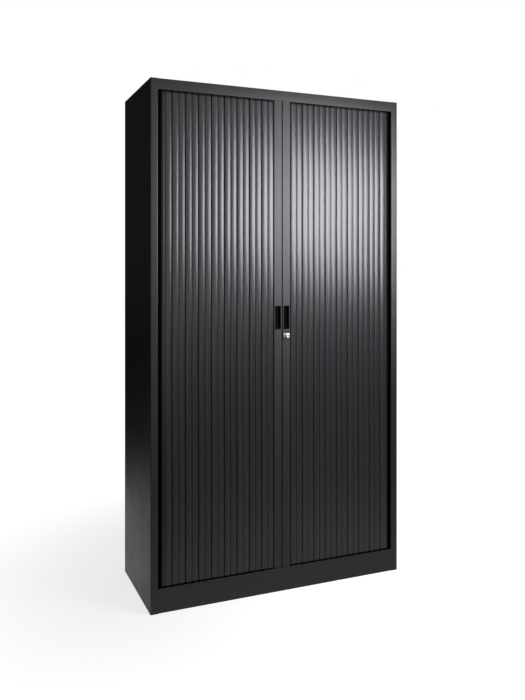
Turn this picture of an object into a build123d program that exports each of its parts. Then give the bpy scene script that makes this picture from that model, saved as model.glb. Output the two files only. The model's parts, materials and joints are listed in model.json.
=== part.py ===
"""Two-door tambour cupboard in folded steel sheet, millimetres, +Z up, front facing -Y.

The origin is the middle of the footprint box, on the floor. The key stands in front of the
doors, so the front plane lies a little nearer the origin than the back plane does.
Every "setback" is a distance behind the front plane of the cabinet.
"""

import os
from math import atan2, cos, degrees, radians, sin

from build123d import *

# ---------------------------------------------------------------- driving dimensions
WIDTH = 1050
DEPTH = 430
HEIGHT = 1950
KEY_REACH = 12  # how far the key stands in front of the front plane
FRONT = -(DEPTH - KEY_REACH) / 2
BACK = FRONT + DEPTH
HALF = WIDTH / 2

SHEET = 1.0  # steel sheet of the casing
STILE = 29  # front face of each side panel
STILE_RETURN = 9  # how deep the stile's inner edge turns back
STILE_BEND = 5
EDGE_BEND = 2.5
REAR_FOLD = 22
RAIL_TOP = 90  # upper edge of the plinth rail
HEADER = 40  # height of the top panel's front rail
HEM = 12  # folded-back edge on both rails
HEM_ROUND = 0.8
PLINTH_FOOT = 16  # the plinth rail's flange on the floor

# curtain: one slat carries two ribs and hooks into its neighbour at a hinge bead
RIB = 25.5
SLATS_PER_DOOR = 10
HINGE_SETBACK = 10.5  # hinge line of the curtain on the front run
CORNER_RADIUS = 48  # hinge line round both corners
SIDE_POCKET = 10  # from the hinge line's side run to the side panel
FIRST_HINGE = 36  # hinge between lead post and first slat, from the middle
# a rib's section: distance from its hinge, height above the hinge line
RIB_SHOULDER, RIB_CROWN, RIB_HAUNCH = (3.2, 5.7), (13.0, 7.0), (22.8, 5.8)
RIB_WEB = [(24.5, 3.4), (RIB, 3.4)]
RIB_INSIDE = [(4.5, 4.5), (10, 5.5), (16.4, 5.5), (22.0, 4.6), (23.7, 2.2), (RIB, 2.2)]
BEAD_END = [(2.56, 1.94), (3.14, 0.66)]  # outer and inner edge of the rib beside the bead
SOCKET_END = [(1.4, 1.4), (2.1, 0.2)]
BEAD_RADIUS = 1.05
SOCKET_BORE = 1.3
SOCKET_RADIUS = 2.2
NECK = 0.9
HINGE_SIDES = 8  # bead and socket have flats
MOUTH_LOW, MOUTH_HIGH = -32, 50  # the socket's open side, in degrees from the slat's line
TOUCHING = 0.01  # two ribs whose webs end nearer than this need no line between them
SLAT_FOOT = 74
SLAT_TOP = 1926

# guide tracks: a channel whose groove follows the hinge line round both corners
GROOVE_MIDDLE = 2.4  # the groove's centre line, outside the hinge line
GROOVE = 10
TRACK_WALL = 1.0
TRACK_FLOOR = 2.0
TRACK_HEIGHT = 14
LOWER_TRACK = 70 + SHEET
TRACK_REAR_RUN = 110

# inner casing
DECK = 70  # the base panel
FLOOR_TOP = 84 + SHEET
CARRIER = HEIGHT - 20  # panel that the upper tracks hang from
CEILING = CARRIER - TRACK_HEIGHT
CHEEK_OUTER = 506
CHEEK_FRONT = 43  # setback of the cheeks' front flange
CHEEK_FLANGE = 16
CHEEK_REAR = 44  # cheeks end this far in front of the back plane
TRAY_LIP = 464  # half width of the floor's and ceiling's front lip
COMPARTMENTS = 5
SLOTS_PER_COMPARTMENT = 2
SLOT_SIZE = (14, 4)
SLOT_SETBACKS = (85, 345)
SHELF_THICKNESS = 25
SHELF_HEM = 12
SHELF_CLEARANCE = 1
CLIP_LEDGE = 12
CLIP_THICKNESS = 2.4
CLIP_WIDTH = 13
CLIP_HOOK = 3  # how far a clip reaches through its slot

# lead posts
POST_INNER = 1.75
POST_OUTER = 34
POST_FACE = 3.3
POST_DEPTH = 20
POST_WALL = 1.8
POST_FOOT = 87
POST_TOP = 1914
SHOE_THICKNESS = 9.4
SHOE_PLUG = 24
SHOE_CHAMFER = 2
SHOE_CLEARANCE = 1  # between the tongue's end and the track's floor
POST_MIDDLE = (POST_INNER + POST_OUTER) / 2
POST_CLEARANCE = 0.1

# handle cups
CUP_OPENING = (20, 87)
CUP_WALL = 1.0
CUP_FLANGE = 1.5
CUP_DEPTH = 12
CUP_HEIGHT = 1066  # middle of the cup above the floor
CUP_LEDGE = 10.5  # how far the sloped finger ledge rises towards the back
CUP_BENDS = (0, 4, 3, 0)  # roundings of the mouth: roof and foot of the rear wall
CUP_CHAMFER = 0.5

# lock
LOCK_X = 13
LOCK_Z = 995
BARREL_RADIUS = 7
PLUG_RADIUS = 5
BEZEL_RADIUS = 8.5
BEZEL_FRONT = 1.2
BEZEL_CHAMFER = 0.9
BARREL_END = 16.6
NUT_WALL = 2
NUT_THICKNESS = 3
HOOK_FRONT = 17.0
HOOK_THICKNESS = 2.2
HOOK_ARM = 3.5
HOOK_HUB = 6.5
HOOK_ROUND = 1.5
HOOK_RISE = 9
HOOK_BEHIND_WALL = 1.2
HOOK_TIP = 5
HOOK_SCREW = (4, 1.6)  # radius and height of its head
HOOK_SCREW_CHAMFER = 0.6
LOCK_SLOT = (-29, 6)  # the opening for the hook, from the lock's height
LOCK_SLOT_WIDTH = 3.4
DRIVE = 4.6  # square end of the plug that turns the hook
KEYWAY_DEPTH = 14
KEY_THICKNESS = 2.2
KEY_BLADE = 6.4
BOW_HEIGHT = 19  # the key's folding head
BOW_WIDTH = 13
BOW_HOLE = 2.4
BOW_ROUND = 6
BOW_TAPER = 4
KNUCKLE_RADIUS = 2.6
KNUCKLE_HEIGHT = 12
PIN_RADIUS = 1.1
FOLD_CLEARANCE = 0.2

# levelling feet
FOOT_X = 478
FOOT_SETBACKS = (60, 370)
FOOT_PAD_RADIUS = 20
FOOT_PAD_HEIGHT = 8
FOOT_STEM_RADIUS = 5
FOOT_STEM_TOP = 68
SLEEVE_LENGTH = 26
SLEEVE_RADIUS = 9
STEM_CLEARANCE = 0.1

FEET = [(x, FRONT + setback) for x in (-FOOT_X, FOOT_X) for setback in FOOT_SETBACKS]

os.makedirs("parts", exist_ok=True)


def save(piece, label):
    """Label a finished piece and write it under that name."""
    piece.part.label = label
    export_step(piece.part, f"parts/{label}.step")


def save_pair(piece, right_name, left_name):
    """Write a piece of the right half and its mirror image for the left half."""
    save(piece, right_name)
    with BuildPart() as twin:
        mirror(piece.part, about=Plane.YZ)
    save(twin, left_name)


def folded_sheet(points, bends, side):
    """Section of a folded sheet: its outer line with rounded bends, and its thickness."""
    with BuildSketch() as section:
        with BuildLine():
            FilletPolyline(*points, radius=bends)
            offset(amount=SHEET, side=side)
        make_face()
    return section.sketch


# ---------------------------------------------------------------- outer casing
# right side panel: rear fold, side, front stile, and the stile's rounded return
stile_edge = HALF - STILE
rear_edge = (HALF - REAR_FOLD, BACK)
panel_line = [rear_edge, (HALF, BACK), (HALF, FRONT), (stile_edge, FRONT)]
return_end = (stile_edge, FRONT + STILE_RETURN)
with BuildPart() as side_panel:
    with BuildSketch(Plane.XY.offset(RAIL_TOP)):
        add(folded_sheet(panel_line + [return_end], (EDGE_BEND, EDGE_BEND, STILE_BEND), Side.RIGHT))
    extrude(amount=HEIGHT - HEADER - RAIL_TOP)
    for foot, length in ((0, RAIL_TOP), (HEIGHT - HEADER, HEADER)):
        with BuildSketch(Plane.XY.offset(foot)):
            add(folded_sheet(panel_line, (EDGE_BEND, EDGE_BEND), Side.RIGHT))
        extrude(amount=length)
save_pair(side_panel, "right_side_panel", "left_side_panel")

# top panel: header rail with a hemmed lower edge, top skin, rear flange
header_foot = HEIGHT - HEADER
with BuildPart() as top_panel:
    with BuildSketch(Plane.YZ):
        top_line = [(FRONT, header_foot), (FRONT, HEIGHT), (BACK, HEIGHT), (BACK, CARRIER)]
        add(folded_sheet(top_line, EDGE_BEND, Side.RIGHT))
        with Locations((FRONT + SHEET, header_foot)):
            Rectangle(SHEET, HEM, align=(Align.MIN, Align.MIN))
    extrude(amount=stile_edge, both=True)
    hem_edges = top_panel.edges().filter_by(Axis.X).group_by(Axis.Z)[0]
    fillet(hem_edges, radius=HEM_ROUND)
    with BuildSketch(Plane.XY.offset(HEIGHT - SHEET)):
        with Locations((0, (FRONT + BACK) / 2)):
            Rectangle(WIDTH - 2 * SHEET, DEPTH - 2 * EDGE_BEND)
    extrude(amount=SHEET)
save(top_panel, "top_panel")

# plinth rail: flange on the floor, front face, hemmed upper edge
with BuildPart() as plinth_rail:
    with BuildSketch(Plane.YZ):
        plinth_line = [(FRONT + PLINTH_FOOT, 0), (FRONT, 0), (FRONT, RAIL_TOP)]
        add(folded_sheet(plinth_line, EDGE_BEND, Side.RIGHT))
        with Locations((FRONT + SHEET, RAIL_TOP)):
            Rectangle(SHEET, HEM, align=(Align.MIN, Align.MAX))
    extrude(amount=stile_edge, both=True)
    rim_edges = plinth_rail.edges().filter_by(Axis.X).group_by(Axis.Z)[-1]
    fillet(rim_edges, radius=HEM_ROUND)
save(plinth_rail, "plinth_rail")

# back panel: a flat sheet that lies against the side panels' rear folds
with BuildPart() as back_panel:
    with BuildSketch(Plane.XY):
        with Locations((0, BACK - SHEET)):
            Rectangle(WIDTH - 2 * EDGE_BEND, SHEET, align=(Align.CENTER, Align.MAX))
    extrude(amount=HEIGHT - EDGE_BEND)
save(back_panel, "back_panel")


def deck_panel(level, fold_to):
    """Panel across the whole casing, its front and rear edges folded to another level."""
    with BuildPart() as panel:
        with BuildSketch(Plane.XY.offset(level)):
            with Locations((0, (FRONT + BACK) / 2)):
                Rectangle(WIDTH - 2 * SHEET, DEPTH - 2 * EDGE_BEND)
            with Locations((0, FRONT + SHEET)):
                Rectangle(2 * stile_edge, DEPTH - 3 * SHEET, align=(Align.CENTER, Align.MIN))
        extrude(amount=SHEET)
        with BuildSketch(Plane.XY.offset(level)):
            for at_y, align in ((FRONT + SHEET, Align.MIN), (BACK - 2 * SHEET, Align.MAX)):
                with Locations((0, at_y)):
                    Rectangle(2 * stile_edge, SHEET, align=(Align.CENTER, align))
        extrude(amount=fold_to - level)
    return panel


save(deck_panel(DECK, fold_to=PLINTH_FOOT), "base_panel")
save(deck_panel(CARRIER, fold_to=HEIGHT - EDGE_BEND), "track_carrier")

# ---------------------------------------------------------------- inner casing
interior_front = FRONT + CHEEK_FRONT + EDGE_BEND
interior_back = BACK - CHEEK_REAR - EDGE_BEND
compartment = (CEILING - FLOOR_TOP) / COMPARTMENTS
slot_pitch = compartment / SLOTS_PER_COMPARTMENT
ledge_drop = SHELF_THICKNESS + CLIP_THICKNESS / 2  # from a shelf's top to its clip's middle
slot_rows = COMPARTMENTS * SLOTS_PER_COMPARTMENT - 1
slot_levels = [FLOOR_TOP + slot_pitch * (row + 1) - ledge_drop for row in range(slot_rows)]

# right cheek: the wall between compartments and curtain pocket, with two rows of clip slots
with BuildPart() as cheek:
    with BuildSketch(Plane.XY.offset(DECK + SHEET)):
        cheek_line = [
            (CHEEK_OUTER - CHEEK_FLANGE, FRONT + CHEEK_FRONT),
            (CHEEK_OUTER, FRONT + CHEEK_FRONT),
            (CHEEK_OUTER, BACK - CHEEK_REAR),
            (CHEEK_OUTER - CHEEK_FLANGE, BACK - CHEEK_REAR),
        ]
        add(folded_sheet(cheek_line, EDGE_BEND, Side.LEFT))
    extrude(amount=CARRIER - DECK - SHEET)
    with BuildSketch(Plane.YZ.offset(CHEEK_OUTER - 2 * SHEET)):
        slots = [(FRONT + setback, level) for setback in SLOT_SETBACKS for level in slot_levels]
        with Locations(*slots):
            Rectangle(*SLOT_SIZE)
    extrude(amount=3 * SHEET, mode=Mode.SUBTRACT)
save_pair(cheek, "right_cheek", "left_cheek")

with BuildPart() as inner_back_panel:
    with BuildSketch(Plane.XY.offset(DECK + SHEET)):
        with Locations((0, BACK - CHEEK_REAR - SHEET)):
            Rectangle(2 * (CHEEK_OUTER - EDGE_BEND), SHEET, align=(Align.CENTER, Align.MAX))
    extrude(amount=CARRIER - DECK - SHEET)
save(inner_back_panel, "inner_back_panel")


def tray_plan():
    """Plan of the floor and ceiling trays: between the cheeks, with a lip up to the track."""
    track_back = HINGE_SETBACK - GROOVE_MIDDLE + GROOVE / 2 + TRACK_WALL
    with BuildSketch() as plan:
        with Locations((0, interior_front)):
            depth = interior_back - interior_front
            Rectangle(2 * (CHEEK_OUTER - SHEET), depth, align=(Align.CENTER, Align.MIN))
            Rectangle(2 * TRAY_LIP, CHEEK_FRONT + EDGE_BEND - track_back, align=(Align.CENTER, Align.MAX))
    return plan.sketch


def tray(skin_level, rim_level):
    """Sheet tray: a flat skin with a rim folded towards rim_level all the way round."""
    with BuildPart() as shell:
        with BuildSketch(Plane.XY.offset(min(skin_level, rim_level))):
            add(tray_plan())
        extrude(amount=abs(skin_level - rim_level))
        open_side = shell.faces().sort_by(Axis.Z)[0 if skin_level > rim_level else -1]
        offset(amount=-SHEET, openings=open_side)
    return shell


save(tray(FLOOR_TOP, DECK + SHEET), "floor_panel")
save(tray(CEILING, CARRIER), "ceiling_panel")

# shelves: a flat skin, folded down on all four sides, with hems turned in at front and back
shelf_half = CHEEK_OUTER - SHEET - SHELF_CLEARANCE
shelf_levels = [FLOOR_TOP + compartment * k for k in range(1, COMPARTMENTS)]
for number, shelf_top in enumerate(shelf_levels, start=1):
    shelf_foot = shelf_top - SHELF_THICKNESS
    with BuildPart() as shelf:
        with BuildSketch(Plane.YZ):
            shelf_line = [
                (interior_front + SHELF_HEM, shelf_foot),
                (interior_front + SHEET, shelf_foot),
                (interior_front + SHEET, shelf_top),
                (interior_back - SHEET, shelf_top),
                (interior_back - SHEET, shelf_foot),
                (interior_back - SHELF_HEM, shelf_foot),
            ]
            add(folded_sheet(shelf_line, 0, Side.RIGHT))
        extrude(amount=shelf_half, both=True)
        with BuildSketch(Plane.XY.offset(shelf_foot + EDGE_BEND)):
            with Locations((-shelf_half, interior_front + EDGE_BEND)):
                Rectangle(SHEET, interior_back - interior_front - 2 * EDGE_BEND, align=Align.MIN)
            with Locations((shelf_half - SHEET, interior_front + EDGE_BEND)):
                Rectangle(SHEET, interior_back - interior_front - 2 * EDGE_BEND, align=Align.MIN)
        extrude(amount=SHELF_THICKNESS - EDGE_BEND)
    save(shelf, f"shelf_{number}")

# shelf clips: each hooks through a cheek slot and carries a shelf on its ledge
with BuildPart() as shelf_clips:
    for shelf_top in shelf_levels:
        level = shelf_top - ledge_drop
        for setback in SLOT_SETBACKS:
            with BuildSketch(Plane.XZ.offset(-(FRONT + setback + CLIP_WIDTH / 2))):
                for way in (-1, 1):
                    wall = way * (CHEEK_OUTER - SHEET)
                    with BuildLine():
                        Polyline(
                            (wall - way * CLIP_LEDGE, level + CLIP_THICKNESS / 2),
                            (wall + way * CLIP_HOOK, level + CLIP_THICKNESS / 2),
                            (wall + way * CLIP_HOOK, level - 3 * CLIP_THICKNESS),
                            (wall + way * CLIP_HOOK / 2, level - 3 * CLIP_THICKNESS),
                            (wall + way * CLIP_HOOK / 2, level - CLIP_THICKNESS / 2),
                            (wall, level - CLIP_THICKNESS / 2),
                            (wall, level - 5 * CLIP_THICKNESS),
                            (wall - way * CLIP_THICKNESS, level - 5 * CLIP_THICKNESS),
                            (wall - way * CLIP_THICKNESS, level - CLIP_THICKNESS / 2),
                            (wall - way * CLIP_LEDGE, level - CLIP_THICKNESS / 2),
                            close=True,
                        )
                    make_face()
            extrude(amount=CLIP_WIDTH)
save(shelf_clips, "shelf_clips")

# ---------------------------------------------------------------- curtain guides
corner_x = HALF - SHEET - CORNER_RADIUS - SIDE_POCKET
front_corner = (corner_x, FRONT + HINGE_SETBACK + CORNER_RADIUS)
rear_corner = (corner_x, BACK - HINGE_SETBACK - 2 * SHEET - CORNER_RADIUS)


def guide_line(outside, start, rear_run):
    """The hinge line, shifted outwards: front run, corner, side run, corner, rear run."""
    radius = CORNER_RADIUS + outside
    side = corner_x + radius
    front = front_corner[1] - radius
    rear = rear_corner[1] + radius
    points = [(start, front), (side, front), (side, rear), (corner_x - rear_run, rear)]
    return FilletPolyline(*points, radius=radius)


def guide_track(floor_level, wall_level):
    """One guide channel from the middle of the front round to the back of the cabinet."""
    height = wall_level - floor_level
    floor = TRACK_FLOOR if height > 0 else -TRACK_FLOOR
    with BuildPart() as track:
        with BuildSketch(Plane.XY.offset(floor_level)):
            with BuildLine():
                guide_line(GROOVE_MIDDLE, SHEET / 2, TRACK_REAR_RUN)
            trace(line_width=GROOVE + 2 * TRACK_WALL)
        extrude(amount=height)
        with BuildSketch(Plane.XY.offset(floor_level + floor)):
            with BuildLine():
                guide_line(GROOVE_MIDDLE, 0, TRACK_REAR_RUN + 1)
            trace(line_width=GROOVE)
        extrude(amount=height, mode=Mode.SUBTRACT)
    return track


lower_track = guide_track(LOWER_TRACK, LOWER_TRACK + TRACK_HEIGHT)
save_pair(lower_track, "lower_right_track", "lower_left_track")
upper_track = guide_track(CARRIER, CARRIER - TRACK_HEIGHT)
save_pair(upper_track, "upper_right_track", "upper_left_track")

# ---------------------------------------------------------------- curtain slats
front_run = corner_x
quarter = radians(90) * CORNER_RADIUS


def hinge_point(run):
    """The point that lies this far along the hinge line from the middle of the front."""
    if run <= front_run:
        return Vector(run, FRONT + HINGE_SETBACK)
    angle = min(run - front_run, quarter) / CORNER_RADIUS
    along_side = max(run - front_run - quarter, 0)
    x = front_corner[0] + CORNER_RADIUS * sin(angle)
    y = front_corner[1] - CORNER_RADIUS * cos(angle) + along_side
    return Vector(x, y)


def next_hinge(run):
    """How far along the line the point lies that is one rib away, measured straight."""
    low, high = run, run + 1.2 * RIB
    here = hinge_point(run)
    for _ in range(40):
        middle = (low + high) / 2
        if (hinge_point(middle) - here).length < RIB:
            low = middle
        else:
            high = middle
    return low


def rib_lines(chord, mirrored, end):
    """Outer and inner lines of one rib, drawn on the chord between its two hinges."""

    def place(point):
        along, out = point
        return chord.from_local_coords((RIB - along if mirrored else along, out))

    foot = Line(place(end[0]), place(RIB_SHOULDER))
    crown = ThreePointArc(foot @ 1, place(RIB_CROWN), place(RIB_HAUNCH))
    web = Polyline(crown @ 1, *[place(point) for point in RIB_WEB])
    inside = Polyline(*[place(point) for point in [end[1]] + RIB_INSIDE])
    return foot @ 0, web @ 1, inside @ 0, inside @ 1


def hinge_socket(centre, away_from):
    """Ring of the hinge socket with its mouth turned away from the piece that carries it."""
    mouth = Plane(origin=centre, x_dir=centre - away_from, z_dir=(0, 0, -1))
    with BuildSketch(mode=Mode.PRIVATE) as ring:
        with Locations(centre):
            RegularPolygon(radius=SOCKET_RADIUS, side_count=HINGE_SIDES)
            RegularPolygon(radius=SOCKET_BORE, side_count=HINGE_SIDES, mode=Mode.SUBTRACT)
        with BuildLine():
            rays = [
                mouth.from_local_coords(
                    (2 * SOCKET_RADIUS * cos(radians(turn)), 2 * SOCKET_RADIUS * sin(radians(turn)))
                )
                for turn in (MOUTH_LOW, MOUTH_HIGH)
            ]
            Polyline(centre, *rays, close=True)
        make_face(mode=Mode.SUBTRACT)
    return ring.sketch


def slat(run):
    """One slat: two ribs with a thin web between them, a hinge bead and a hinge socket."""
    middle = next_hinge(run)
    joints = [hinge_point(r) for r in (run, middle, next_hinge(middle))]
    chords = [
        Plane(origin=a, x_dir=b - a, z_dir=(0, 0, -1)) for a, b in zip(joints, joints[1:])
    ]
    with BuildPart() as profile:
        with BuildSketch(Plane.XY.offset(SLAT_FOOT)):
            with BuildLine():
                bead_side = rib_lines(chords[0], False, BEAD_END)
                socket_side = rib_lines(chords[1], True, SOCKET_END)
                for one, other in ((bead_side[1], socket_side[1]), (bead_side[3], socket_side[3])):
                    if (one - other).length > TOUCHING:
                        Line(one, other)
                Line(bead_side[0], bead_side[2])
                Line(socket_side[0], socket_side[2])
            make_face()
            neck = (bead_side[0] + bead_side[2]) / 2 - joints[0]
            with Locations(Location(joints[0], degrees(atan2(neck.Y, neck.X)))):
                RegularPolygon(radius=BEAD_RADIUS, side_count=HINGE_SIDES)
                Rectangle(neck.length + NECK / 3, NECK, align=(Align.MIN, Align.CENTER))
            add(hinge_socket(joints[2], away_from=joints[1]))
        extrude(amount=SLAT_TOP - SLAT_FOOT)
    return profile, next_hinge(middle)


hinge_run = FIRST_HINGE
for number in range(1, SLATS_PER_DOOR + 1):
    finished_slat, hinge_run = slat(hinge_run)
    save_pair(finished_slat, f"right_slat_{number:02d}", f"left_slat_{number:02d}")

# ---------------------------------------------------------------- lead posts
wall_outer = (POST_INNER, FRONT + POST_FACE)
cup_width, cup_height = (side + 2 * CUP_WALL for side in CUP_OPENING)


def lead_post(with_lock):
    """Box section with the socket for the first slat, a cup cut-out and the hook's opening."""
    with BuildPart() as post:
        with BuildSketch(Plane.XY.offset(POST_FOOT)) as section:
            with Locations(wall_outer):
                Rectangle(POST_OUTER - POST_INNER, POST_DEPTH, align=Align.MIN)
            fillet(section.vertices(), radius=POST_WALL / 2)
            with Locations((POST_INNER + POST_WALL, FRONT + POST_FACE + POST_WALL)):
                cavity = (POST_OUTER - POST_INNER - 2 * POST_WALL, POST_DEPTH - 2 * POST_WALL)
                Rectangle(*cavity, align=Align.MIN, mode=Mode.SUBTRACT)
            hinge = Vector(FIRST_HINGE, FRONT + HINGE_SETBACK)
            with Locations(hinge):
                arm = (FIRST_HINGE - POST_OUTER - SOCKET_BORE + POST_WALL, 1.5 * SOCKET_BORE)
                with Locations((-SOCKET_BORE, 0)):
                    Rectangle(*arm, align=(Align.MAX, Align.CENTER))
            add(hinge_socket(hinge, away_from=hinge - Vector(POST_WALL, 0)))
        extrude(amount=POST_TOP - POST_FOOT)
        with BuildSketch(Plane.XZ.offset(-(FRONT + POST_FACE + POST_WALL))):
            with Locations((POST_MIDDLE, CUP_HEIGHT)):
                Rectangle(cup_width + 2 * POST_CLEARANCE, cup_height + 2 * POST_CLEARANCE)
            if with_lock:
                with Locations((LOCK_X, LOCK_Z)):
                    Circle(BARREL_RADIUS + POST_CLEARANCE)
        extrude(amount=2 * POST_WALL, mode=Mode.SUBTRACT)
        with BuildSketch(Plane.YZ.offset(POST_INNER - POST_WALL)):
            slot_foot, slot_top = LOCK_SLOT
            with Locations((FRONT + HOOK_FRONT + HOOK_THICKNESS / 2, LOCK_Z + slot_foot)):
                Rectangle(LOCK_SLOT_WIDTH, slot_top - slot_foot, align=(Align.CENTER, Align.MIN))
        extrude(amount=2.5 * POST_WALL, mode=Mode.SUBTRACT)
    return post


save(lead_post(with_lock=True), "right_lead_post")
with BuildPart() as left_post:
    mirror(lead_post(with_lock=False).part, about=Plane.YZ)
save(left_post, "left_lead_post")

# shoes: a plug in each end of the post, and a tongue that runs in the track's groove
groove_middle = FRONT + HINGE_SETBACK - GROOVE_MIDDLE
lower_tongue = LOWER_TRACK + TRACK_FLOOR + SHOE_CLEARANCE
upper_tongue = CARRIER - TRACK_FLOOR - SHOE_CLEARANCE
with BuildPart() as post_shoes:
    for end, tongue_end, way in ((POST_FOOT, lower_tongue, 1), (POST_TOP, upper_tongue, -1)):
        with BuildSketch(Plane.XY.offset(end)):
            with Locations((POST_MIDDLE, FRONT + POST_FACE + POST_DEPTH / 2)):
                inset = 2 * POST_WALL + 2 * POST_CLEARANCE
                Rectangle(POST_OUTER - POST_INNER - inset, POST_DEPTH - inset)
        extrude(amount=way * SHOE_PLUG)
        with BuildSketch(Plane.XY.offset(end)) as tongue:
            with Locations((POST_MIDDLE, groove_middle)):
                Rectangle(POST_OUTER - POST_INNER - 2 * SHOE_CHAMFER, SHOE_THICKNESS)
            chamfer(tongue.vertices(), length=SHOE_CHAMFER)
        extrude(amount=tongue_end - end)
save_pair(post_shoes, "right_post_shoes", "left_post_shoes")

# handle cup: a flanged tray with a ledge that slopes up towards its back
cup_face = FRONT + POST_FACE - SHEET
with BuildPart() as handle_cup:
    with BuildSketch(Plane.XZ.offset(-cup_face)):
        with Locations((POST_MIDDLE, CUP_HEIGHT)):
            Rectangle(cup_width + 2 * CUP_FLANGE, cup_height + 2 * CUP_FLANGE)
    extrude(amount=-SHEET)
    with BuildSketch(Plane.XZ.offset(-(cup_face + SHEET))):
        with Locations((POST_MIDDLE, CUP_HEIGHT)):
            Rectangle(cup_width, cup_height)
    extrude(amount=-(CUP_DEPTH + CUP_WALL - SHEET))
    chamfer(handle_cup.faces().sort_by(Axis.Y)[0].outer_wire().edges(), length=CUP_CHAMFER)
    with BuildSketch(Plane.YZ.offset(POST_MIDDLE)):
        low, high = CUP_HEIGHT - CUP_OPENING[1] / 2, CUP_HEIGHT + CUP_OPENING[1] / 2
        slope = CUP_LEDGE / CUP_DEPTH
        mouth_line = [
            (cup_face - SHEET, low - slope * SHEET),
            (cup_face - SHEET, high),
            (cup_face + CUP_DEPTH, high),
            (cup_face + CUP_DEPTH, low + CUP_LEDGE),
        ]
        with BuildLine():
            FilletPolyline(*mouth_line, radius=CUP_BENDS, close=True)
        make_face()
    extrude(amount=CUP_OPENING[0] / 2, both=True, mode=Mode.SUBTRACT)
save_pair(handle_cup, "right_handle_cup", "left_handle_cup")

# ---------------------------------------------------------------- lock
lock_axis = Plane(origin=(LOCK_X, FRONT, LOCK_Z), x_dir=(1, 0, 0), z_dir=(0, 1, 0))

with BuildPart() as lock_barrel:
    with BuildSketch(lock_axis.offset(BEZEL_FRONT)):
        Circle(BEZEL_RADIUS)
    extrude(amount=POST_FACE - BEZEL_FRONT)
    chamfer(lock_barrel.edges().sort_by(Axis.Y)[0], length=BEZEL_CHAMFER)
    with BuildSketch(lock_axis.offset(POST_FACE)):
        Circle(BARREL_RADIUS)
    extrude(amount=BARREL_END - POST_FACE)
    with BuildSketch(lock_axis):
        Circle(PLUG_RADIUS + STEM_CLEARANCE)
    extrude(amount=BARREL_END, mode=Mode.SUBTRACT)
save(lock_barrel, "lock_barrel")

with BuildPart() as lock_nut:
    with BuildSketch(lock_axis.offset(POST_FACE + POST_WALL)):
        RegularPolygon(BARREL_RADIUS + NUT_WALL, side_count=6, major_radius=False, rotation=30)
        Circle(BARREL_RADIUS, mode=Mode.SUBTRACT)
    extrude(amount=NUT_THICKNESS)
save(lock_nut, "lock_nut")

# plug: turns in the barrel, keyway in front, square drive for the hook behind
with BuildPart() as lock_plug:
    with BuildSketch(lock_axis.offset(BEZEL_FRONT)):
        Circle(PLUG_RADIUS)
    extrude(amount=HOOK_FRONT - BEZEL_FRONT)
    with BuildSketch(lock_axis.offset(HOOK_FRONT)):
        Rectangle(DRIVE, DRIVE)
    extrude(amount=HOOK_THICKNESS)
    with BuildSketch(lock_axis.offset(BEZEL_FRONT)):
        Rectangle(KEY_THICKNESS, KEY_BLADE)
    extrude(amount=KEYWAY_DEPTH - BEZEL_FRONT, mode=Mode.SUBTRACT)
save(lock_plug, "lock_plug")

# hook bolt: hangs down when open; a quarter turn carries its tip behind the left post's wall
hook_reach = LOCK_X + POST_INNER + POST_WALL + HOOK_BEHIND_WALL
hook_plane = Plane(origin=(LOCK_X, FRONT + HOOK_FRONT, LOCK_Z), x_dir=(0, 0, -1), z_dir=(0, 1, 0))
with BuildPart() as hook_bolt:
    with BuildSketch(hook_plane) as blade:
        Circle(HOOK_HUB)
        Rectangle(hook_reach + HOOK_TIP, 2 * HOOK_ARM, align=(Align.MIN, Align.CENTER))
        with Locations((hook_reach, -HOOK_ARM)):
            Rectangle(HOOK_TIP, HOOK_ARM + HOOK_RISE, align=Align.MIN)
        fillet(blade.vertices().group_by(Axis.X)[-1], radius=HOOK_ROUND)
        Rectangle(DRIVE, DRIVE, mode=Mode.SUBTRACT)
    extrude(amount=HOOK_THICKNESS)
save(hook_bolt, "hook_bolt")

with BuildPart() as hook_screw:
    with BuildSketch(lock_axis.offset(HOOK_FRONT + HOOK_THICKNESS)):
        Circle(HOOK_SCREW[0])
    extrude(amount=HOOK_SCREW[1])
    chamfer(hook_screw.edges().sort_by(Axis.Y)[-1], length=HOOK_SCREW_CHAMFER)
save(hook_screw, "hook_screw")

# key: blade in the plug, and a hinge eye at the end of its shank
key_hinge = Plane(origin=(LOCK_X, FRONT - KEY_REACH + KNUCKLE_RADIUS, LOCK_Z))
with BuildPart() as key:
    with BuildSketch(Plane.YZ.offset(LOCK_X)):
        with Locations((FRONT + KEYWAY_DEPTH, LOCK_Z)):
            blade_length = KEYWAY_DEPTH + KEY_REACH - KNUCKLE_RADIUS
            Rectangle(blade_length, KEY_BLADE, align=(Align.MAX, Align.CENTER))
    extrude(amount=KEY_THICKNESS / 2, both=True)
    with BuildSketch(key_hinge):
        Circle(KNUCKLE_RADIUS)
    extrude(amount=KEY_BLADE / 2, both=True)
    with BuildSketch(key_hinge):
        Circle(PIN_RADIUS + STEM_CLEARANCE)
    extrude(amount=KEY_BLADE / 2, both=True, mode=Mode.SUBTRACT)
save(key, "key")

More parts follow.
